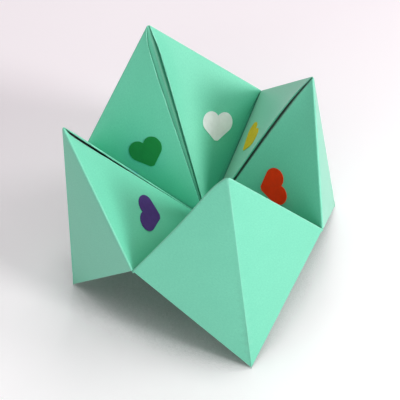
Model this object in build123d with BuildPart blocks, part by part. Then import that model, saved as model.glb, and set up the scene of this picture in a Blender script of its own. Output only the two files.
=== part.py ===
# Paper fortune teller. One square sheet has its corners folded to the middle twice, on opposite
# faces, and is opened into four beaks. A small heart sticker lies on each of the eight inside faces.
# Millimetres, +Z up, front towards -Y, standing on its four feet, centred on its plan.
from math import asin, atan2, cos, degrees, hypot, radians, sin, sqrt
from build123d import *
import os

os.makedirs("parts", exist_ok=True)

# the sheet
paper_side = 210.0  # square sheet before folding
paper = 0.20  # thickness
layer_gap = 0.10  # air between a flap's two layers
flap_gap = 0.28  # air between a flap and the sheet that it lies on
edge_clearance = 0.15  # from a raw edge to the valley that it stops at
pinhole = 0.7  # radius left open where the eight creases cross
foot_wear = 0.25  # height worn off each foot's sharp corner

# the pose, with one value for each beak
beaks = ["front", "right", "back", "left"]
centre_height = 11.5  # the sheet's middle above the table
beak_turn = [-88.5, -8.5, 96.5, 180.0]  # which way the tip points, seen from above
beak_rise = [55.5, 56.0, 57.5, 55.0]  # the tip's angle above the table, from the middle
foot_tuck = [1.5, 2.5, 4.0, 3.0]  # outer square's turn under the tip, from the mirrored place
ridge_clearance = [0.6, 0.8, 1.3, 0.7]  # from the ridge to the middle of each flap's folded edge

# how much short of the valley the raw edge of a seen face stops, where it wasn't folded square
short_face = {("back", "right"): 1.6}

# the stickers
sticker = 0.40  # thickness
lobe_radius = 3.75
heart_width = 13.6
heart_drop = 7.4  # from the middle of the lobes to the point
point_radius = 1.0

# the half that each sticker lies on: its beak, and the beak that the half is turned towards
sticker_side = {
    "heart_green": ("back", "left"),
    "heart_white": ("back", "right"),
    "heart_yellow": ("right", "back"),
    "heart_red": ("right", "front"),
    "heart_purple": ("left", "front"),
    "heart_blue": ("left", "back"),
    "heart_pink": ("front", "right"),
    "heart_orange": ("front", "left"),
}

# how far the middle of each sticker's lobes is from the rim and from the valley
stickers = {
    "heart_green": (20.4, 11.9),
    "heart_white": (18.8, 12.4),
    "heart_yellow": (19.4, 14.1),
    "heart_red": (18.6, 14.0),
    "heart_purple": (20.6, 14.8),
    "heart_blue": (19.5, 13.0),
    "heart_pink": (19.8, 13.4),
    "heart_orange": (20.2, 12.8),
}

# each point's direction, in degrees from straight in towards the middle of the sheet
sticker_turn = {
    "heart_green": -39,
    "heart_white": -22,
    "heart_yellow": -22,
    "heart_red": -20,
    "heart_purple": -31,
    "heart_blue": -26,
    "heart_pink": -28,
    "heart_orange": -24,
}

# fold lines: every small triangle has its right angle at a side corner
a = paper_side / 4
centre = Vector(0, 0, centre_height)
table = (Vector(0, 0, 0), Vector(0, 0, 1))
flap_low = paper + flap_gap  # middle of the flap's lower layer above the base sheet's middle
flap_top = flap_low + paper + layer_gap  # middle of the layer that is seen
rim_radius = flap_top - flap_low / 2  # the outer fold goes round the inner one


def tip_of(turn, rise):
    """A beak's tip, one small square's diagonal from the centre."""
    turn, rise = radians(turn), radians(rise)
    return centre + Vector(cos(rise) * cos(turn), cos(rise) * sin(turn), sin(rise)) * a * sqrt(2)


def side_corner(tip, next_tip):
    """The corner that two beaks share, one small side from the centre and from both tips."""
    p, q = tip - centre, next_tip - centre
    between = (p + q) * (a * a / (2 * a * a + p.dot(q)))
    return centre + between - p.cross(q).normalized() * sqrt(a * a - between.dot(between))


def foot_of(tip, corner, other, tuck):
    """The outer square's free corner: the centre mirrored through the rim, tucked in, at the table."""
    through_rim = (corner - tip).cross(other - tip).normalized()
    down = centre - tip
    down = down - through_rim * (2 * down.dot(through_rim))
    down = down.rotate(Axis((0, 0, 0), other - corner), tuck)
    return tip + down * ((tip.Z + foot_wear) / -down.Z)


def meeting_point(*walls):
    """The point that three walls share. A wall is a point on it and its normal."""
    (p1, n1), (p2, n2), (p3, n3) = walls
    top = n2.cross(n3) * p1.dot(n1) + n3.cross(n1) * p2.dot(n2) + n1.cross(n2) * p3.dot(n3)
    return top * (1 / n1.dot(n2.cross(n3)))


tips = [tip_of(turn, rise) for turn, rise in zip(beak_turn, beak_rise)]
corners = [side_corner(tips[i], tips[(i + 1) % 4]) for i in range(4)]
feet = [foot_of(tips[i], corners[i - 1], corners[i], foot_tuck[i]) for i in range(4)]


class Half:
    """One half of a beak. Half 1 lies towards the next beak, half -1 towards the one before."""

    def __init__(self, beak, half):
        self.half = half
        self.tip, self.foot = tips[beak], feet[beak]
        self.corner, other = corners[beak], corners[beak - 1]
        if half == -1:
            self.corner, other = other, self.corner
        neighbour = tips[(beak + half) % 4]
        self.inward = (centre - self.corner).normalized()
        self.upward = (self.tip - self.corner).normalized()
        self.normal = self.inward.cross(self.upward) * half
        self.ridge = (self.tip, (other - self.corner).normalized())
        self.valley = (self.corner, (self.tip - neighbour).normalized())
        down = self.foot - self.corner
        self.down = (down - self.upward * down.dot(self.upward)).normalized()
        self.pocket = atan2(-self.down.dot(self.normal), self.down.dot(self.inward))
        self.outward = self.inward * -sin(self.pocket) - self.normal * cos(self.pocket)

    def at(self, x, y, z=0.0):
        """A place x from the rim, y from the valley's crease and z above the base sheet's middle."""
        return self.corner + self.inward * x + self.upward * y + self.normal * z

    def clear_of_valley(self, z):
        """How far up the rim a layer at height z starts, to stay clear of its twin."""
        away = self.valley[1]
        return (edge_clearance - self.normal.dot(away) * z) / self.upward.dot(away)

    def outer_plane(self):
        """Middle of the outer layer, where it leaves the fold round the rim."""
        start = self.at(0, 0, flap_low / 2) + self.outward * rim_radius
        return Plane(origin=start, x_dir=self.down, z_dir=self.outward)

    def standing_point(self):
        """Where the crease's outer edge meets the table."""
        skin = self.outer_plane().offset(paper / 2)
        return meeting_point((skin.origin, skin.z_dir), self.ridge, table)


# move everything so that the four feet are centred on the origin
stand = [Half(i, 1).standing_point() for i in range(4)]
middle = Vector((stand[1].X + stand[3].X) / 2, (stand[0].Y + stand[2].Y) / 2, 0)
centre = centre - middle
tips = [p - middle for p in tips]
corners = [p - middle for p in corners]
feet = [p - middle for p in feet]


def layer(plane, walls):
    """Flat paper on a plane, cut off by each wall in turn."""
    with BuildPart(mode=Mode.PRIVATE) as piece:
        for side in (-1, 1):
            face = plane.offset(side * paper / 2)
            here = (face.origin, face.z_dir)
            outline = [meeting_point(here, walls[k - 1], walls[k]) for k in range(len(walls))]
            with BuildSketch(face):
                with BuildLine():
                    Polyline([face.to_local_coords(p) for p in outline], close=True)
                make_face()
        loft(ruled=True)
    return piece.part


def fold(plane, radius, start, end, length):
    """Paper bent round the origin of a plane, from one angle to another, and along its normal."""
    with BuildPart(mode=Mode.PRIVATE) as piece:
        with BuildSketch(plane):
            with BuildLine():
                skin = CenterArc((0, 0), radius + paper / 2, start, end - start)
                lining = CenterArc((0, 0), radius - paper / 2, start, end - start)
                Line(skin @ 0, lining @ 0)
                Line(skin @ 1, lining @ 1)
            make_face()
        extrude(amount=length)
    return piece.part


def add_half(beak, half):
    """The four layers of half a beak and the folds that join them."""
    h = Half(beak, half)
    face = Plane(origin=h.corner, x_dir=h.inward, z_dir=h.normal)
    short = short_face.get((beaks[beak], beaks[(beak + half) % 4]), 0)
    slit_start = a - ridge_clearance[beak] * sqrt(2)
    raw_start = h.clear_of_valley(flap_top + paper / 2) + short
    fold_start = h.clear_of_valley(flap_low + paper / 2)
    rim = (h.corner, h.inward)
    slit = (h.at(slit_start, 0), (h.inward + h.upward).normalized())
    raw_edge = (h.at(0, raw_start), h.upward)
    hole = (h.at(a - pinhole, 0), (h.inward + h.upward * (sqrt(2) - 1)).normalized())
    across = h.upward * half
    turned = h.inward * -1

    # base sheet, then the flap's lower layer, both creased at the valley, then the face that is seen
    add(layer(face, [rim, h.ridge, hole, h.valley]))
    add(layer(face.offset(flap_low), [rim, slit, h.valley]))
    add(layer(face.offset(flap_top), [rim, slit, raw_edge]))

    # the flap turned back over the base sheet along the rim
    inner = Plane(origin=h.at(0, fold_start, flap_low / 2), x_dir=turned, z_dir=across)
    add(fold(inner, flap_low / 2, -90, 90, half * (slit_start - fold_start)))

    # the flap's own folded edge along the ridge
    edge_start = h.at(slit_start - raw_start, raw_start, (flap_low + flap_top) / 2)
    edge = Plane(origin=edge_start, x_dir=slit[1], z_dir=(h.inward - h.upward) * half)
    add(fold(edge, (flap_top - flap_low) / 2, -90, 90, -half * (slit_start - raw_start) * sqrt(2)))

    # the face that is seen goes round the rim and on into the outer square
    outer = Plane(origin=h.at(0, raw_start, flap_low / 2), x_dir=turned, z_dir=across)
    add(fold(outer, rim_radius, degrees(h.pocket) - 90, 90, half * (slit_start - raw_start)))
    under = h.outer_plane()
    along = h.foot - h.at(0, raw_start)
    free_edge = (h.at(0, raw_start), along.cross(h.outward).normalized())
    add(layer(under, [(under.origin, h.down), h.ridge, table, free_edge]))


with BuildPart() as folded_sheet:
    for beak in range(4):
        add_half(beak, 1)
        add_half(beak, -1)
folded_sheet.part.label = "folded_sheet"
export_step(folded_sheet.part, "parts/folded_sheet.step")

# heart: two round lobes and straight sides that leave them smoothly
lobe = heart_width / 2 - lobe_radius
slope = atan2(lobe, heart_drop) + asin(lobe_radius / hypot(lobe, heart_drop))
side_x, side_y = lobe + lobe_radius * cos(slope), -lobe_radius * sin(slope)

for name, (from_rim, from_valley) in stickers.items():
    beak, towards = (beaks.index(side) for side in sticker_side[name])
    h = Half(beak, 1 if towards == (beak + 1) % 4 else -1)
    turn = radians(sticker_turn[name])
    up = h.inward * -cos(turn) - h.upward * sin(turn)
    place = h.at(from_rim, from_valley, flap_top + paper / 2)
    with BuildPart() as heart:
        with BuildSketch(Plane(origin=place, x_dir=up.cross(h.normal), z_dir=h.normal)) as outline:
            with Locations((lobe, 0), (-lobe, 0)):
                Circle(lobe_radius)
            with BuildLine():
                Polyline((0, -heart_drop), (side_x, side_y), (lobe, 0),
                         (-lobe, 0), (-side_x, side_y), close=True)
            make_face()
            fillet(outline.vertices().sort_by(Axis.Y)[0], radius=point_radius)
        extrude(amount=sticker)
    heart.part.label = name
    export_step(heart.part, f"parts/{name}.step")
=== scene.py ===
# %% [markdown]
# # Paper fortune teller
# A fortune teller is one square of craft paper. Its corners are folded to the middle, it is turned
# over, the new corners are folded to the middle again, and the whole is pushed up into four hollow
# beaks. This lesson folds a flat mesh in the same way, so that every layer seen in a slit is there.
# It starts by loading the measured solids, which stay where they are.

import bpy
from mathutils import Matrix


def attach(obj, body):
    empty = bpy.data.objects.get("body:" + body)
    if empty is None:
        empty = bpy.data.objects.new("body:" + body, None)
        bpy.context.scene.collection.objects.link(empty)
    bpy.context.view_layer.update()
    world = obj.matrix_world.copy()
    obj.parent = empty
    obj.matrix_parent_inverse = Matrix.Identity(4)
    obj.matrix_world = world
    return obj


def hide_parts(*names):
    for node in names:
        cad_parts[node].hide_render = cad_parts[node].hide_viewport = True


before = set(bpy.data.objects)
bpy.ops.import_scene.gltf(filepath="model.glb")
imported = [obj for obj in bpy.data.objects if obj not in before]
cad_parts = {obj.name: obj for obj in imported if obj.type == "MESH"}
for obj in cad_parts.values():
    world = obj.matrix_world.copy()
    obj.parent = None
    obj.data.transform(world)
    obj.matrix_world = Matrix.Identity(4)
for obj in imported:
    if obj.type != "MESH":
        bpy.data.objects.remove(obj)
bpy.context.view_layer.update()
print("solids:", len(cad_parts))

# %% Modules for the mesh and the materials
from math import atan2, cos, exp, pi, radians, sin, sqrt

import bmesh
import bpy
from mathutils import Quaternion, Vector

scene = bpy.context.scene
mm = 0.001

# %% [markdown]
# ## The pose
# Four values give each beak: which way its tip points, how steeply it rises, and how far the outer
# square is tucked under it. The side corners follow, because each is one small side from the middle
# and from two tips. A short bend of the tip, by a millimetre or less, is what real paper adds.

# %% Sizes of the sheet and the angles of its beaks
paper_side = 210 * mm
paper = 0.2 * mm
a = paper_side / 4

sheet_middle = Vector((1.84, 5.54, 11.5)) * mm
beak_turn = {"front": -88.5, "right": -8.5, "back": 96.5, "left": 180.0}
beak_rise = {"front": 55.5, "right": 56.0, "back": 57.5, "left": 55.0}
foot_tuck = {"front": 1.5, "right": 2.5, "back": 4.0, "left": 3.0}
tip_bend = {
    "front": Vector((0.1, 0.0, 0.0)) * mm,
    "right": Vector((0.0, 0.0, -1.0)) * mm,
    "back": Vector((0.4, 0.0, 0.2)) * mm,
    "left": Vector((-0.4, 0.0, 0.4)) * mm,
}
beaks = list(beak_turn)


def tip_of(beak):
    """A beak's tip, one small square's diagonal from the middle."""
    turn, rise = radians(beak_turn[beak]), radians(beak_rise[beak])
    way = Vector((cos(rise) * cos(turn), cos(rise) * sin(turn), sin(rise)))
    return sheet_middle + way * a * sqrt(2)


def side_corner(tip, next_tip):
    """The corner that two beaks share, one small side from the middle and from both tips."""
    p, q = tip - sheet_middle, next_tip - sheet_middle
    between = (p + q) * (a * a / (2 * a * a + p.dot(q)))
    return sheet_middle + between - p.cross(q).normalized() * sqrt(a * a - between.length_squared)


tips = {beak: tip_of(beak) for beak in beaks}
corners = {
    (beak, beaks[(i + 1) % 4]): side_corner(tips[beak], tips[beaks[(i + 1) % 4]])
    for i, beak in enumerate(beaks)
}
print("side corners:", [tuple(round(x / mm, 1) for x in c) for c in corners.values()])

# %% [markdown]
# ## One half of a beak
# Everything on the toy is one of eight halves, each with the same four layers of paper: the base
# sheet, the flap's lower layer, the face that is seen, and half of the outer square. A place on a half
# is given by its distance from the rim and from the valley, and each layer lies at its own height.
# The flap doesn't lie flat: it springs off the base towards the ridge and stops short of it, which
# opens the slit. How wide and how high is set for each half, read from the picture:
#
# - slit: how far the flap's folded edge stops from the ridge
# - spring: how far the flap stands off the base sheet there
# - puff: the radius of the flap's folded edge
# - opens, closes: how soon the slit opens below the tip, and where it closes on the way to the middle.
#   With closes past 1 it is still open at the middle
# - bow: how far the ridge itself bows out of the mouth
# - short: how far the raw edge of the seen face stops from the valley
# - bulge: the height of the low dome of the flap
# - shoulder: a swelling of the rim beside a blunt tip
#
# Slit, spring and bow are multiplied by the slit's shape along the ridge. It peaks between 0.65 and 0.83,
# so the widest gap is only that share of the value.

# %% Where the layers of a half lie
rim_gap = 0.30 * mm  # middle of the flap's lower layer above the base sheet's middle, at the rim
layer_gap = 0.25 * mm  # from the lower layer to the seen one, at the rim
inner_bend = rim_gap / 2
outer_bend = rim_gap / 2 + layer_gap
raw_edge_gap = 0.15 * mm  # from the raw edge of a seen face to the valley
short_reach = 12 * mm  # from the rim to where a short raw edge is as short as it gets


class Half:
    """Half of a beak, from its side corner to its ridge. The flap's sizes are in millimetres, but
    opens and closes are shares of the way from the tip to the middle."""

    def __init__(
        self, beak, towards, slit, spring,
        puff=0.2, opens=0.08, closes=1.0, bow=0.0, short=0.0, bulge=0.3, shoulder=0.0,
    ):
        self.side = 1 if (beak, towards) in corners else -1
        corner = corners[(beak, towards) if self.side == 1 else (towards, beak)]
        beside = next(c for pair, c in corners.items() if beak in pair and towards not in pair)
        tip = tips[beak]
        self.corner = corner
        self.inward = (sheet_middle - corner) / a
        self.upward = (tip + tip_bend[beak] - corner) / a
        self.normal = self.inward.cross(self.upward).normalized() * self.side
        away = (tip - tips[towards]).normalized()
        self.valley_slope = -self.normal.dot(away) / self.upward.dot(away)
        foot = self.foot_of(tip, corner, beside, foot_tuck[beak])
        plain_down = (foot - corner - self.upward * (foot - corner).dot(self.upward)).normalized()
        self.pocket = atan2(-plain_down.dot(self.normal), plain_down.dot(self.inward))
        self.outward = self.inward * -sin(self.pocket) - self.normal * cos(self.pocket)
        self.slit, self.spring, self.puff = slit * mm, spring * mm, puff * mm
        self.opens, self.closes = opens, closes
        self.bow, self.short = bow * mm, short * mm
        self.bulge, self.shoulder = bulge * mm, shoulder * mm
        self.rim_arc = outer_bend * (pi - self.pocket)
        start = self.corner + self.upward * self.clear_of_valley(rim_gap + layer_gap, 1)
        start += self.normal * inner_bend + self.outward * outer_bend
        self.down = (foot - start) / (a - self.rim_arc / 2)

    def clear_of_valley(self, z, side, u=0):
        """How far up a layer at height z starts, to stay clear of its twin across the valley."""
        raw = raw_edge_gap + self.short * min(u / short_reach, 1) if side == 1 else 0
        return max(self.valley_slope * z, 0) + raw

    @staticmethod
    def foot_of(tip, corner, beside, tuck):
        """The outer square's free corner: the middle mirrored through the rim, down at the table."""
        through_rim = (corner - tip).cross(beside - tip).normalized()
        down = sheet_middle - tip
        down = down - through_rim * (2 * down.dot(through_rim))
        axis = corners_axis(tip, corner, beside)
        down = Quaternion(axis, radians(tuck)) @ down
        return tip + down * (tip.z / -down.z)


def corners_axis(tip, corner, beside):
    """The line between a beak's two side corners, turned so that a tuck goes under the tip."""
    axis = (beside - corner).normalized()
    outside = (corner + beside) / 2 - sheet_middle
    return axis if axis.cross(tip - sheet_middle).dot(outside) > 0 else -axis


half_sizes = {
    ("front", "right"): dict(slit=0.7, spring=0.7),
    ("front", "left"): dict(slit=0.7, spring=0.7, shoulder=1.0),
    ("right", "front"): dict(slit=0.0, spring=0.3, opens=0.17, closes=1.8, bow=-1.4),
    ("right", "back"): dict(slit=0.25, spring=1.0, opens=0.17, closes=1.8, bow=-1.4),
    ("back", "right"): dict(slit=0.1, spring=3.0, opens=0.1, closes=1.1, short=1.8, bulge=0.5),
    ("back", "left"): dict(slit=2.7, spring=0.6, opens=0.08, closes=1.1, bulge=0.4),
    ("left", "back"): dict(slit=0.0, spring=1.4, opens=0.03, closes=0.85, bow=1.3),
    ("left", "front"): dict(slit=0.9, spring=0.6, opens=0.03, closes=0.85, bow=1.3),
}
halves = {pair: Half(*pair, **sizes) for pair, sizes in half_sizes.items()}
print("halves:", len(halves))

# %% [markdown]
# ## Folding
# Folding is a map from the flat square to space. A place on the flat square first tells which layer it
# belongs to, and how far it is from the rim and from the valley. Near a fold it goes round a small arc,
# because paper has no sharp folds, and elsewhere it lies in its layer.


# %% The map from the flat sheet to the folded one
least_width = 0.3 * mm  # the narrow end of a triangle is never taken as less
slit_taper = 1.3  # how hollow the slit's edge is where it closes
spring_curve = 1.5  # how late the flap leaves the base on its way to the ridge
puff_from = 0.08  # share of the ridge over which the folded edge gets its full radius
most_rise = 0.8  # share of a flap's depth that the valley may push it up


def slit_shape(h, along):
    """How the slit opens from the tip, at 0, until it closes on the way to the middle, at 1."""
    return (1 - exp(-along / h.opens)) * max(1 - along / h.closes, 0) ** slit_taper


def bowed(h, across, along):
    """How far the crease of a ridge bows out of the mouth, and the paper beside it with it."""
    return h.bow * slit_shape(h, along) * across ** 2


def bulge_shape(x, y):
    """A low dome over the triangle x + y = 1, zero on all three sides."""
    return 27 * max(x * y * (1 - x - y), 0)


def flap_place(h, u, v, side):
    """A place on the flap. side is 0 on its lower layer and 1 on the seen one, u is from the rim."""
    width = max(a - v, least_width)
    across, along = min(u / width, 1), min(max(1 - v / a, 0), 1)
    opening = slit_shape(h, along)
    height = rim_gap + h.spring * opening * across ** spring_curve - bowed(h, across, along)
    between = layer_gap + (2 * h.puff - layer_gap) * min(along / puff_from, 1) * across ** 3
    bend = between / 2
    reach = -h.slit * sqrt(2) * opening * across
    from_slit = max(a - u - v, 0) / sqrt(2)
    quarter = bend * pi / 2
    z = height + between * side
    past = 0
    if from_slit < quarter:
        lift = bend * (1 - sin(from_slit / bend))
        z += lift if side == 0 else -lift
        past = bend * cos(from_slit / bend) + from_slit - quarter
    dome = h.bulge * bulge_shape(across * (1 - v / a), v / a)
    depth = max(a - u, least_width)
    rise = min(h.clear_of_valley(height + between * side, side, u), most_rise * depth)
    rise *= max(1 - v / depth, 0)
    return (
        h.corner
        + h.inward * (u + reach + past / sqrt(2))
        + h.upward * (v + rise + past / sqrt(2))
        + h.normal * (z + dome)
    )


def round_rim(h, q, v):
    """Base sheet to flap round the inner arc of the rim. q runs over the fold, from the base's side."""
    quarter = inner_bend * pi / 2
    if abs(q) <= quarter:
        angle = q / inner_bend
        z = inner_bend * (1 + sin(angle))
        rise = h.clear_of_valley(z, 0) * (1 - v / a)
        return h.corner - h.inward * inner_bend * cos(angle) + h.upward * (v + rise) + h.normal * z
    u = (abs(q) - quarter) * a / (a - quarter)
    if q < 0:
        down = bowed(h, min(u / max(a - v, least_width), 1), 1 - v / a)
        return h.corner + h.inward * u + h.upward * v - h.normal * down
    return flap_place(h, u, v, 0)


outer_bulge = 0.3 * mm  # height of the low dome of half an outer square
ridge_reach = 0.45 * mm  # how far an outer square goes on, to meet its twin at the ridge


def round_outer(h, q, v):
    """Seen face to outer square round the outer arc of the rim. q runs over the fold, from inside."""
    half_arc = h.rim_arc / 2
    start = h.clear_of_valley(rim_gap + layer_gap, 1) * (1 - v / a)
    if q < -half_arc:
        return flap_place(h, (-q - half_arc) * a / (a - half_arc), v, 1)
    centre = h.corner + h.upward * (v + start) + h.normal * inner_bend
    if q <= half_arc:
        angle = pi / 2 - (q + half_arc) / outer_bend
        return centre - h.inward * outer_bend * cos(angle) + h.normal * outer_bend * sin(angle)
    d = q - half_arc
    across = min(q / max(a - v, least_width), 1)
    dome = outer_bulge * bulge_shape(across * (1 - v / a), v / a)
    meet = (h.upward + h.down) * (ridge_reach * across / sqrt(2))
    return centre + h.outward * (outer_bend + dome) + h.down * d + meet


shoulder_peak = 0.0567  # the highest value of t ** 6 * (1 - t)
shoulder_width = 12 * mm


def shoulder_shape(q, v):
    """A swelling of the rim just below the tip, where the paper is blunt."""
    t = min(max(v / a, 0), 1)
    return t ** 6 * (1 - t) / shoulder_peak * max(1 - abs(q) / shoulder_width, 0) ** 2


def fold_place(h, far, near):
    """Where a point of the flat sheet goes, from its distances to the two middle lines."""
    if near <= a and far + near <= 2 * a:
        q, v, place = far - a, near, round_rim(h, far - a, near)
    else:
        q, v, place = near - a, 2 * a - far, round_outer(h, near - a, 2 * a - far)
    return place + h.normal * h.shoulder * shoulder_shape(q, v)


# %% [markdown]
# ## The sheet
# The mesh is cut along the twelve creases that the folder makes, and along narrow lines beside them,
# so that each bend has a few faces to go round. Then every vertex is moved by the map. A vertex on a
# crease belongs to two halves or more, and takes the mean of their answers. Last, the sheet gets its
# thickness, what would go into the table is pressed flat on it, and the flat place is kept as the UV
# map, so that the paper's grain runs through the folds.

# %% Crease lines of the flat sheet
quadrant = {"front": (-1, -1), "right": (1, -1), "back": (1, 1), "left": (-1, 1)}
side_of_pair = {
    ("front", "right"): (0, -1),
    ("right", "back"): (1, 0),
    ("back", "left"): (0, 1),
    ("left", "front"): (-1, 0),
}


def half_at(x_sign, y_sign, x_is_far):
    """The half that a part of the flat sheet belongs to."""
    beak = next(b for b in beaks if quadrant[b] == (x_sign, y_sign))
    corner = (x_sign, 0) if x_is_far else (0, y_sign)
    pair = next(p for p, c in side_of_pair.items() if c == corner)
    towards = pair[1] if pair[0] == beak else pair[0]
    return halves[(beak, towards)]


def crease(bm, way, distance, steps):
    """Cuts the sheet along a line at a distance from the middle, and at each step beside it."""
    way = Vector((*way, 0)).normalized()
    for step in steps:
        everything = bm.verts[:] + bm.edges[:] + bm.faces[:]
        cut = way * (distance + step * mm)
        bmesh.ops.bisect_plane(bm, geom=everything, dist=1e-7, plane_co=cut, plane_no=way)


bend_steps = (-0.5, -0.4, -0.3, -0.2, -0.1, 0, 0.1, 0.2, 0.3, 0.4, 0.5)
slit_steps = (-0.6, -0.45, -0.3, -0.15, 0, 0.15, 0.3, 0.45, 0.6)
crease_steps = (-0.4, 0, 0.4)

grid_steps = 84

bm = bmesh.new()
bmesh.ops.create_grid(bm, x_segments=grid_steps, y_segments=grid_steps, size=2 * a)
for way in ((1, 0), (0, 1)):
    crease(bm, way, 0, crease_steps)
    for distance in (a, -a):
        crease(bm, way, distance, bend_steps)
for way in ((1, 1), (1, -1)):
    crease(bm, way, 0, crease_steps)
    for distance in (a * sqrt(2), -a * sqrt(2)):
        crease(bm, way, distance, slit_steps)
print("flat sheet:", len(bm.verts), "vertices")

# %% Fold it, and give it its thickness
flat = bm.verts.layers.float_vector.new("flat")
touch = 1e-6  # nearer than this to a line is on it
sharp_fold = radians(38)
for vert in bm.verts:
    x, y = vert.co.x, vert.co.y
    vert[flat] = vert.co
    x_signs = [s for s in (-1, 1) if x * s > -touch]
    y_signs = [s for s in (-1, 1) if y * s > -touch]
    orders = [far for far in (True, False) if (abs(x) - abs(y)) * (1 if far else -1) > -touch]
    places = [
        fold_place(half_at(sx, sy, far), max(abs(x), abs(y)), min(abs(x), abs(y)))
        for sx in x_signs for sy in y_signs for far in orders
    ]
    vert.co = sum(places, Vector()) / len(places)

bmesh.ops.recalc_face_normals(bm, faces=bm.faces[:])
bm.normal_update()
across_paper = {vert: vert.normal.copy() for vert in bm.verts}
other_side = bmesh.ops.extrude_face_region(bm, geom=bm.faces[:], use_keep_orig=True)["geom"]
copies = [vert for vert in other_side if isinstance(vert, bmesh.types.BMVert)]
by_place = {tuple(vert.co): normal for vert, normal in across_paper.items()}
for vert in copies:
    vert.co += by_place[tuple(vert.co)] * paper / 2
for vert, normal in across_paper.items():
    vert.co -= normal * paper / 2
for vert in bm.verts:
    vert.co.z = max(vert.co.z, 0)
bmesh.ops.recalc_face_normals(bm, faces=bm.faces[:])

uv = bm.loops.layers.uv.new("flat_sheet")
for face in bm.faces:
    face.smooth = True
    for loop in face.loops:
        loop[uv].uv = loop.vert[flat].xy / paper_side + Vector((0.5, 0.5))
for edge in bm.edges:
    edge.smooth = len(edge.link_faces) == 2 and edge.calc_face_angle(0) < sharp_fold

mesh = bpy.data.meshes.new("paper_sheet")
bm.to_mesh(mesh)
bm.free()
sheet = bpy.data.objects.new("paper_sheet", mesh)
scene.collection.objects.link(sheet)
lowest = min(v.co.z for v in mesh.vertices)
print("folded sheet:", len(mesh.polygons), "faces, lowest", round(lowest / mm, 2))

# %% [markdown]
# ## The heart stickers
# Each is a small glossy sticker, cut as a heart and slightly domed. It starts as a disc of rings, whose
# outline is drawn out to the heart's: two round lobes, straight sides and a rounded point. The rings
# are then laid on the seen face with the same map as the paper, so the sticker follows its curve.

# %% Outline of a heart
heart_width = 13.6 * mm
lobe_radius = 3.75 * mm
heart_drop = 7.4 * mm
point_radius = 1.0 * mm
sticker = 0.4 * mm

lobe = heart_width / 2 - lobe_radius
point_reach = sqrt(lobe ** 2 + heart_drop ** 2)
slope = atan2(lobe, heart_drop) + atan2(lobe_radius, sqrt(point_reach ** 2 - lobe_radius ** 2))
side_way = Vector((cos(slope), -sin(slope)))
heart_centre = Vector((0, -1.2 * mm))
point_centre = Vector((0, -heart_drop + point_radius / cos(slope)))
print("heart:", [round(size / mm, 2) for size in (heart_width, point_reach, sticker)])


def exit_of(way, centre, radius):
    """How far from the heart's centre a ray leaves a circle, or 0 if it misses."""
    offset = centre - heart_centre
    along = offset.dot(way)
    rest = radius ** 2 - offset.length_squared + along ** 2
    return along + sqrt(rest) if rest > 0 else 0


def heart_reach(way):
    """How far from the heart's centre its outline is, in a direction."""
    mirrored = Vector((abs(way.x), way.y))
    lobes = max(exit_of(mirrored, Vector((lobe, 0)), lobe_radius),
                exit_of(mirrored, Vector((-lobe, 0)), lobe_radius))
    touch_lobe = Vector((lobe, 0)) + side_way * lobe_radius - heart_centre
    touch_point = point_centre + side_way * point_radius - heart_centre
    turn = mirrored.angle(Vector((0, -1)))
    if turn > touch_lobe.angle(Vector((0, -1))):
        return lobes
    if turn < touch_point.angle(Vector((0, -1))):
        return exit_of(mirrored, point_centre, point_radius)
    return touch_lobe.dot(side_way) / mirrored.dot(side_way)


# %% Where each heart lies
# its half, how far the middle of its lobes is from the rim and from the valley, and its turn in degrees
stickers = {
    "green": (("back", "left"), 20.2, 11.7, -40),
    "white": (("back", "right"), 18.3, 10.9, -21),
    "yellow": (("right", "back"), 19.0, 15.0, -28),
    "red": (("right", "front"), 17.9, 14.1, -8),
    "purple": (("left", "front"), 20.1, 14.2, -32),
    "blue": (("left", "back"), 18.8, 12.3, -26),
    "pink": (("front", "right"), 19.8, 13.4, -28),
    "orange": (("front", "left"), 20.2, 12.8, -24),
}
heart_rings = 6
heart_steps = 96
edge_height, dome_height = 0.55, 0.45  # shares of the thickness, at the edge and added in the middle
sharp_edge = radians(50)


def heart_sticker(colour):
    """A domed heart on its flap, over its CAD node."""
    pair, from_rim, from_valley, degrees = stickers[colour]
    h = halves[pair]
    up = Vector((-cos(radians(degrees)), -sin(radians(degrees))))
    right = Vector((-up.y, up.x)) * -h.side
    bm = bmesh.new()
    bmesh.ops.create_circle(bm, cap_ends=True, segments=heart_steps, radius=1)
    outer = bm.faces[:]
    ring_width = 1 / (heart_rings + 1)
    for _ in range(heart_rings):
        bmesh.ops.inset_region(bm, faces=outer, thickness=ring_width, use_even_offset=False)
    bm.normal_update()
    top = bm.faces[:]
    skirt = bmesh.ops.extrude_face_region(bm, geom=top)
    lifted = [v for v in skirt["geom"] if isinstance(v, bmesh.types.BMVert)]
    under = [v for v in bm.verts if v not in set(lifted)]
    bmesh.ops.delete(bm, geom=[f for f in top if f.is_valid], context="FACES")
    for verts, raised in ((lifted, True), (under, False)):
        for vert in verts:
            radial = vert.co.xy
            share = min(radial.length, 1)
            way = radial.normalized() if share > 1e-6 else Vector((0, 1))
            place = heart_centre + way * heart_reach(way) * share
            u = from_rim * mm + up.x * place.y + right.x * place.x
            v = from_valley * mm + up.y * place.y + right.y * place.x
            dome = edge_height + dome_height * sqrt(max(1 - share ** 4, 0)) if raised else 0
            vert.co = flap_place(h, u, v, 1) + h.normal * (paper / 2 + sticker * dome)
    bmesh.ops.recalc_face_normals(bm, faces=bm.faces[:])
    for face in bm.faces:
        face.smooth = True
    for edge in bm.edges:
        edge.smooth = len(edge.link_faces) == 2 and edge.calc_face_angle(0) < sharp_edge
    mesh = bpy.data.meshes.new("sticker_" + colour)
    bm.to_mesh(mesh)
    bm.free()
    piece = bpy.data.objects.new("sticker_" + colour, mesh)
    scene.collection.objects.link(piece)
    return piece


hearts = {colour: heart_sticker(colour) for colour in stickers}
print("hearts:", {colour: len(piece.data.polygons) for colour, piece in hearts.items()})


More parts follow.
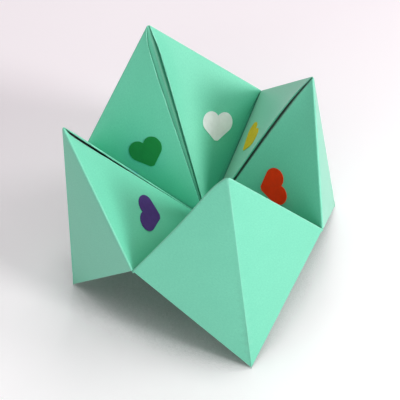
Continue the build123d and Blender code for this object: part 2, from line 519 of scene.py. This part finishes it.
# %% [markdown]
# ## The paper
# Craft paper is dyed through, matt, and full of fine fibres. Folding breaks its surface, so each crease
# shows as a thin paler line, which is partly wear and partly a painted highlight, and the ridge seen
# inside a slit has a brighter painted highlight. The distance to the nearest crease is worked out from
# the flat place, and the fibres are stretched noise on the same place.
# Light that goes from face to face takes on the paper's colour and fades in the slits. The lamps alone
# left both too weak, so two masks paint shade into the colour: an ambient occlusion that reaches 35 mm
# paints the mouth a deeper green, and one that reaches 3 mm paints the slits dark. They depend on the
# shape, not on where the camera stands.

# %% Helpers that place and join shader nodes
def new_group(name, inputs, outputs):
    """An empty shader group. inputs is name: value, outputs is name: socket type."""
    group = bpy.data.node_groups.new(name, "ShaderNodeTree")
    for label, value in inputs.items():
        kind = "NodeSocketColor" if isinstance(value, tuple) else "NodeSocketFloat"
        socket = group.interface.new_socket(label, in_out="INPUT", socket_type=kind)
        socket.default_value = value
    for label, kind in outputs.items():
        group.interface.new_socket(label, in_out="OUTPUT", socket_type=kind)
    start = group.nodes.new("NodeGroupInput")
    end = group.nodes.new("NodeGroupOutput")
    return group, start, end


def put(tree, kind, **values):
    """A node with some of its sockets and settings set. A socket's value may be another socket."""
    node = tree.nodes.new(kind)
    for name, value in values.items():
        if hasattr(node, name):
            setattr(node, name, value)
            continue
        key = int(name[1:]) if name[1:].isdigit() else name.replace("_", " ")
        socket = node.inputs[key]
        if isinstance(value, bpy.types.NodeSocket):
            tree.links.new(value, socket)
        else:
            socket.default_value = value
    return node


def sum_of(tree, operation, first, second=0.0, third=None):
    """One step of arithmetic, and its result."""
    extra = {} if third is None else {"_2": third}
    return put(tree, "ShaderNodeMath", operation=operation, _0=first, _1=second, **extra).outputs[0]


# %% Group: how near a place is to a crease
crease_masks = dict.fromkeys(("Crease", "Ridge highlight", "Raw edge"), "NodeSocketFloat")
crease_group, start, end = new_group("crease_line", {"Width": 0.002}, crease_masks)
quarter_side = 0.25  # a small square's side, as a share of the sheet's
# the ridge's line inside the slits is a painted highlight on the crown of the crease
ridge_highlight_width = 1.2  # of the ridge's line inside the slits, as a share of the others'
ridge_highlight_start = -25.0  # how fast that line starts below the tip
raw_edge_width = 0.0012  # as a share of the sheet's side, like the group's Width


def crease_step(operation, first, second=0.0):
    """One step of arithmetic in the crease group."""
    return sum_of(crease_group, operation, first, second)


def distance_to(value, line):
    """How far a value is from a line, on either side."""
    return crease_step("ABSOLUTE", crease_step("SUBTRACT", value, line))


def fading(distance, width):
    """1 on a line, and 0 from a width beside it."""
    share = crease_step("DIVIDE", distance, width)
    return crease_step("SUBTRACT", 1.0, crease_step("MINIMUM", share, 1.0))


place = put(crease_group, "ShaderNodeUVMap", uv_map="flat_sheet").outputs["UV"]
parts = put(crease_group, "ShaderNodeSeparateXYZ", _0=place)
x = distance_to(parts.outputs["X"], 0.5)
y = distance_to(parts.outputs["Y"], 0.5)
diagonal = crease_step("SUBTRACT", crease_step("ADD", x, y), 2 * quarter_side)
ridge_line = crease_step("MULTIPLY", distance_to(x, y), sqrt(0.5))
slit_line = crease_step("MULTIPLY", crease_step("ABSOLUTE", diagonal), sqrt(0.5))
nearest = distance_to(x, quarter_side)
for line in (distance_to(y, quarter_side), slit_line, ridge_line, x, y):
    nearest = crease_step("MINIMUM", nearest, line)
width = start.outputs["Width"]
below_tip = crease_step("MAXIMUM", crease_step("MULTIPLY", diagonal, ridge_highlight_start), 0.0)
inside = crease_step("MINIMUM", below_tip, 1.0)
# painted highlight on the ridge's crown inside the slits, starting below the tip
inner = fading(ridge_line, crease_step("MULTIPLY", width, ridge_highlight_width))
to_edge = crease_step("SUBTRACT", 2 * quarter_side, crease_step("MAXIMUM", x, y))
crease_group.links.new(fading(nearest, width), end.inputs["Crease"])
crease_group.links.new(crease_step("MULTIPLY", inner, inside), end.inputs["Ridge highlight"])
crease_group.links.new(fading(to_edge, raw_edge_width), end.inputs["Raw edge"])
print("crease group:", len(crease_group.nodes), "nodes")

# %% Group: fibres of the paper
fibre_masks = dict.fromkeys(("Fibre", "Cloud"), "NodeSocketFloat")
fibre_group, start, end = new_group("paper_fibre", {"Size": 1.0}, fibre_masks)
place = put(fibre_group, "ShaderNodeUVMap", uv_map="flat_sheet").outputs["UV"]
sized = put(fibre_group, "ShaderNodeVectorMath", operation="SCALE", _0=place, Scale=start.outputs["Size"])
fibre_ways = ((0.3, (480, 260, 1)), (1.4, (430, 230, 1)), (2.5, (520, 280, 1)))
layers = []
for turn, stretch in fibre_ways:
    turned = put(
        fibre_group, "ShaderNodeMapping", Vector=sized.outputs[0], Rotation=(0, 0, turn), Scale=stretch
    )
    noise = put(
        fibre_group, "ShaderNodeTexNoise", Vector=turned.outputs[0], Scale=1.0, Detail=3.0, Roughness=0.6
    )
    layers.append(noise.outputs["Fac"])
mixed = sum_of(fibre_group, "ADD", sum_of(fibre_group, "ADD", layers[0], layers[1]), layers[2])
fibre = sum_of(fibre_group, "DIVIDE", mixed, len(fibre_ways))
fibre_group.links.new(fibre, end.inputs["Fibre"])
cloud = put(
    fibre_group, "ShaderNodeTexNoise", Vector=sized.outputs[0], Scale=26.0, Detail=4.0, Roughness=0.55
)
fibre_group.links.new(cloud.outputs["Fac"], end.inputs["Cloud"])
print("shader groups:", [g.name for g in bpy.data.node_groups])


# %% The paper's material
def ramp(tree, value, low, high, low_out=0.0, high_out=1.0):
    """A value stretched from one range to another, and held inside it."""
    node = put(tree, "ShaderNodeMapRange", clamp=True, Value=value)
    for socket, number in zip(node.inputs[1:5], (low, high, low_out, high_out)):
        socket.default_value = number
    return node.outputs[0]


def blend_colours(tree, amount, first, second):
    """A mix of two colours by an amount."""
    node = tree.nodes.new("ShaderNodeMix")
    node.data_type = "RGBA"
    for socket, value in ((node.inputs[0], amount), (node.inputs[6], first), (node.inputs[7], second)):
        if isinstance(value, bpy.types.NodeSocket):
            tree.links.new(value, socket)
        else:
            socket.default_value = value
    return node.outputs[2]


def new_material(name):
    """A material with only a Principled shader and its output."""
    material = bpy.data.materials.new(name)
    material.use_nodes = True
    tree = material.node_tree
    shader = tree.nodes["Principled BSDF"]
    return material, tree, shader


mint = (0.131, 0.656, 0.433, 1)
mint_pale = (0.170, 0.722, 0.489, 1)
mint_cloud = (0.125, 0.640, 0.420, 1)
mint_crease_wear_and_highlight = (0.33, 0.82, 0.64, 1)
mint_ridge_highlight = (0.36, 0.96, 0.70, 1)
mint_painted_mouth_shade = (0.035, 0.52, 0.30, 1)
mint_painted_slit_shade = (0.001, 0.060, 0.028, 1)

paper_material, tree, shader = new_material("mint_paper")
fibre = put(tree, "ShaderNodeGroup", node_tree=fibre_group)
creases = put(tree, "ShaderNodeGroup", node_tree=crease_group)
grain = ramp(tree, fibre.outputs["Fibre"], 0.41, 0.59)
colour = blend_colours(tree, grain, mint, mint_pale)
cloudy = ramp(tree, fibre.outputs["Cloud"], 0.3, 0.7, 0.0, 0.35)
colour = blend_colours(tree, cloudy, colour, mint_cloud)
# creases are paler: partly wear, partly a painted highlight where the fold would catch the light
uneven = ramp(tree, fibre.outputs["Cloud"], 0.3, 0.7, 0.15, 0.5)
crease_wear_and_highlight = sum_of(tree, "MULTIPLY", creases.outputs["Crease"], uneven)
colour = blend_colours(tree, crease_wear_and_highlight, colour, mint_crease_wear_and_highlight)
# painted highlight on the ridge inside the slits
colour = blend_colours(tree, creases.outputs["Ridge highlight"], colour, mint_ridge_highlight)
colour = blend_colours(tree, creases.outputs["Raw edge"], colour, mint_pale)
shut = put(tree, "ShaderNodeAmbientOcclusion", samples=8, Distance=0.003)
# painted shade: a deeper green where the mouth is sheltered, from a 35 mm occlusion
deep = put(tree, "ShaderNodeAmbientOcclusion", samples=6, Distance=0.035)
painted_mouth_shade = ramp(tree, deep.outputs["AO"], 0.25, 0.6, 1.0, 0.0)
colour = blend_colours(tree, painted_mouth_shade, colour, mint_painted_mouth_shade)
# painted shade: the slits are painted nearly black where a 3 mm occlusion finds them shut in
slit_unshaded_share = ramp(tree, shut.outputs["AO"], 0.22, 0.42)
colour = blend_colours(tree, slit_unshaded_share, mint_painted_slit_shade, colour)
tree.links.new(colour, shader.inputs["Base Color"])
shader.inputs["Roughness"].default_value = 0.5
shader.inputs["Specular IOR Level"].default_value = 0.9
shader.inputs["Sheen Weight"].default_value = 0.4
shader.inputs["Sheen Roughness"].default_value = 0.5
bump = put(tree, "ShaderNodeBump", Height=fibre.outputs["Fibre"], Strength=0.3, Distance=0.1 * mm)
tree.links.new(bump.outputs[0], shader.inputs["Normal"])
sheet.data.materials.append(paper_material)
print("paper material:", len(tree.nodes), "nodes")

# %% [markdown]
# ## The stickers' finish
# The hearts are printed film. The colour is slightly uneven, and a thin coat on top gives a soft shine
# that the paper doesn't have. It is weak, because the picture shows almost no glint on them.

# %% One material for each sticker
sticker_colours = {
    "green": (0.016, 0.265, 0.058, 1),
    "white": (1.0, 1.0, 1.0, 1),
    "yellow": (0.95, 0.61, 0.003, 1),
    "red": (1.0, 0.042, 0.001, 1),
    "purple": (0.090, 0.038, 0.215, 1),
    "blue": (0.02, 0.09, 0.50, 1),
    "pink": (0.80, 0.10, 0.26, 1),
    "orange": (0.85, 0.23, 0.01, 1),
}


deeper_share = 0.86  # of the ink, where the print is deepest


def sticker_material(colour):
    """Printed film: an uneven colour under a thin coat."""
    material, tree, shader = new_material("sticker_" + colour)
    ink = sticker_colours[colour]
    deeper = tuple(x * deeper_share for x in ink[:3]) + (1,)
    here = put(tree, "ShaderNodeTexCoord").outputs["Object"]
    noise = put(tree, "ShaderNodeTexNoise", Vector=here, Scale=420.0, Detail=3.0, Roughness=0.6)
    amount = ramp(tree, noise.outputs["Fac"], 0.35, 0.65, 0.0, 0.6)
    tree.links.new(blend_colours(tree, amount, ink, deeper), shader.inputs["Base Color"])
    tree.links.new(ramp(tree, noise.outputs["Fac"], 0.3, 0.7, 0.42, 0.5), shader.inputs["Roughness"])
    shader.inputs["Specular IOR Level"].default_value = 0.12
    shader.inputs["Coat Weight"].default_value = 0.05
    shader.inputs["Coat Roughness"].default_value = 0.15
    return material


for colour, piece in hearts.items():
    piece.data.materials.append(sticker_material(colour))
print("materials:", len(bpy.data.materials))

# %% [markdown]
# ## Handing the pieces to the frame
# Each mesh stands for one solid of the fixed frame and rides on its only body, and that solid is hidden.

# %% Ride and replace
pieces = {"folded_sheet": (sheet, "mint_paper")}
for colour, piece in hearts.items():
    pieces["heart_" + colour] = (piece, "sticker_" + colour)
for node, (piece, slot) in pieces.items():
    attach(piece, "root")
    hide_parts(node)

# %% [markdown]
# ## Camera
# The picture was taken from the front, a little left, looking down at about 45 degrees, with a long
# lens from half a metre away and a slight roll.

# %% Camera
camera_place = Vector((-52.76, -316.06, 355.47)) * mm
camera_heading, camera_tilt, camera_roll = radians(9.368), radians(45.513), radians(8.432)
focal_pixels, picture_pixels = 1296.87, 400

camera_data = bpy.data.cameras.new("camera")
camera_data.sensor_width = 36
camera_data.lens = focal_pixels * camera_data.sensor_width / picture_pixels
camera_data.clip_start = 0.01
camera = bpy.data.objects.new("camera", camera_data)
camera.location = camera_place
turn = Quaternion((0, 0, 1), -camera_heading)
tilt = Quaternion((1, 0, 0), pi / 2 - camera_tilt)
roll = Quaternion((0, 0, 1), -camera_roll)
camera.rotation_mode = "QUATERNION"
camera.rotation_quaternion = turn @ tilt @ roll
scene.collection.objects.link(camera)
scene.camera = camera
print("camera:", round(camera_data.lens, 1), "mm lens,", round(camera_place.length, 3), "m away")

# %% [markdown]
# ## Floor and light
# The table is white in front and faintly pink at the back. Its shadow is deeper than the lamps make it:
# an ambient occlusion on a leaning normal marks what the toy shelters, and only what the camera sees
# there, directly or in a gloss, is painted darker. Where the floor is open, a painted glow that only the
# camera sees makes it brighter, more in front than at the back. The main light is a large soft one at
# the right front, low enough that the right beak throws a soft shadow on the face behind it. The sky
# fills in. To the camera the sky is plain white, which lights nothing.

# %% Floor
bm = bmesh.new()
bmesh.ops.create_grid(bm, x_segments=1, y_segments=1, size=3)
floor_mesh = bpy.data.meshes.new("floor")
bm.to_mesh(floor_mesh)
bm.free()
floor = bpy.data.objects.new("floor", floor_mesh)
scene.collection.objects.link(floor)
table_front, table_back = (1.0, 0.985, 0.995, 1), (1.0, 0.915, 0.96, 1)
table_shadow, table_unseen = (0.10, 0.145, 0.13, 1), (0.86, 0.84, 0.86, 1)
floor_material, tree, shader = new_material("pale_table")
path = put(tree, "ShaderNodeLightPath")
leaning = put(tree, "ShaderNodeCombineXYZ", X=0.5, Y=0.42, Z=0.76).outputs[0]
near = put(tree, "ShaderNodeAmbientOcclusion", samples=16, Distance=0.06, Normal=leaning)
here = put(tree, "ShaderNodeSeparateXYZ", _0=put(tree, "ShaderNodeTexCoord").outputs["Object"])
far = ramp(tree, here.outputs["Y"], -0.08, 0.12)
table = blend_colours(tree, far, table_front, table_back)
open_floor = ramp(tree, near.outputs["AO"], 0.35, 0.74)
shown = blend_colours(tree, open_floor, table_shadow, table)
seen = sum_of(tree, "MAXIMUM", path.outputs["Is Camera Ray"], path.outputs["Is Glossy Ray"])
seen = sum_of(tree, "MAXIMUM", seen, path.outputs["Is Transmission Ray"])
tree.links.new(blend_colours(tree, seen, table_unseen, shown), shader.inputs["Base Color"])
# painted light: the open floor glows for the camera, more in front than at the back
open_squared = sum_of(tree, "MULTIPLY", open_floor, open_floor)
painted_floor_glow = sum_of(tree, "MULTIPLY", open_squared, ramp(tree, far, 0, 1, 0.17, 0.03))
tree.links.new(table, shader.inputs["Emission Color"])
tree.links.new(sum_of(tree, "MULTIPLY", painted_floor_glow, seen), shader.inputs["Emission Strength"])
shader.inputs["Roughness"].default_value = 0.7
shader.inputs["Specular IOR Level"].default_value = 0.2
floor.data.materials.append(floor_material)

# %% Lights
world = bpy.data.worlds.new("sky")
scene.world = world
world.use_nodes = True
sky = world.node_tree.nodes["Background"]
sky.inputs["Color"].default_value = (1.0, 1.0, 1.0, 1)
path = put(world.node_tree, "ShaderNodeLightPath")
strength = ramp(world.node_tree, path.outputs["Is Camera Ray"], 0, 1, 0.36, 1.0)
world.node_tree.links.new(strength, sky.inputs["Strength"])

# heading and height in degrees, size in metres, power in watts
lights = {
    "window": (-48, 27, 0.25, 0.45, 7.3),
    "room_right": (-10, 38, 0.45, 0.45, 2.9),
    "room_back": (60, 35, 0.8, 0.8, 3.8),
    "room_left": (-120, 35, 0.8, 0.8, 1.9),
}
light_distance = 1.2
light_aim = Vector((0, 0, 0.03))
for name, (heading, height, width, tall, power) in lights.items():
    heading, height = radians(heading), radians(height)
    way = Vector((cos(height) * cos(heading), cos(height) * sin(heading), sin(height)))
    light_data = bpy.data.lights.new(name, "AREA")
    light_data.shape = "ELLIPSE"
    light_data.size, light_data.size_y = width, tall
    light_data.energy = power
    light = bpy.data.objects.new(name, light_data)
    light.location = way * light_distance + light_aim
    light.rotation_mode = "QUATERNION"
    light.rotation_quaternion = way.to_track_quat("Z", "Y")
    scene.collection.objects.link(light)
print("lights:", list(lights))

scene.view_settings.view_transform = "Standard"
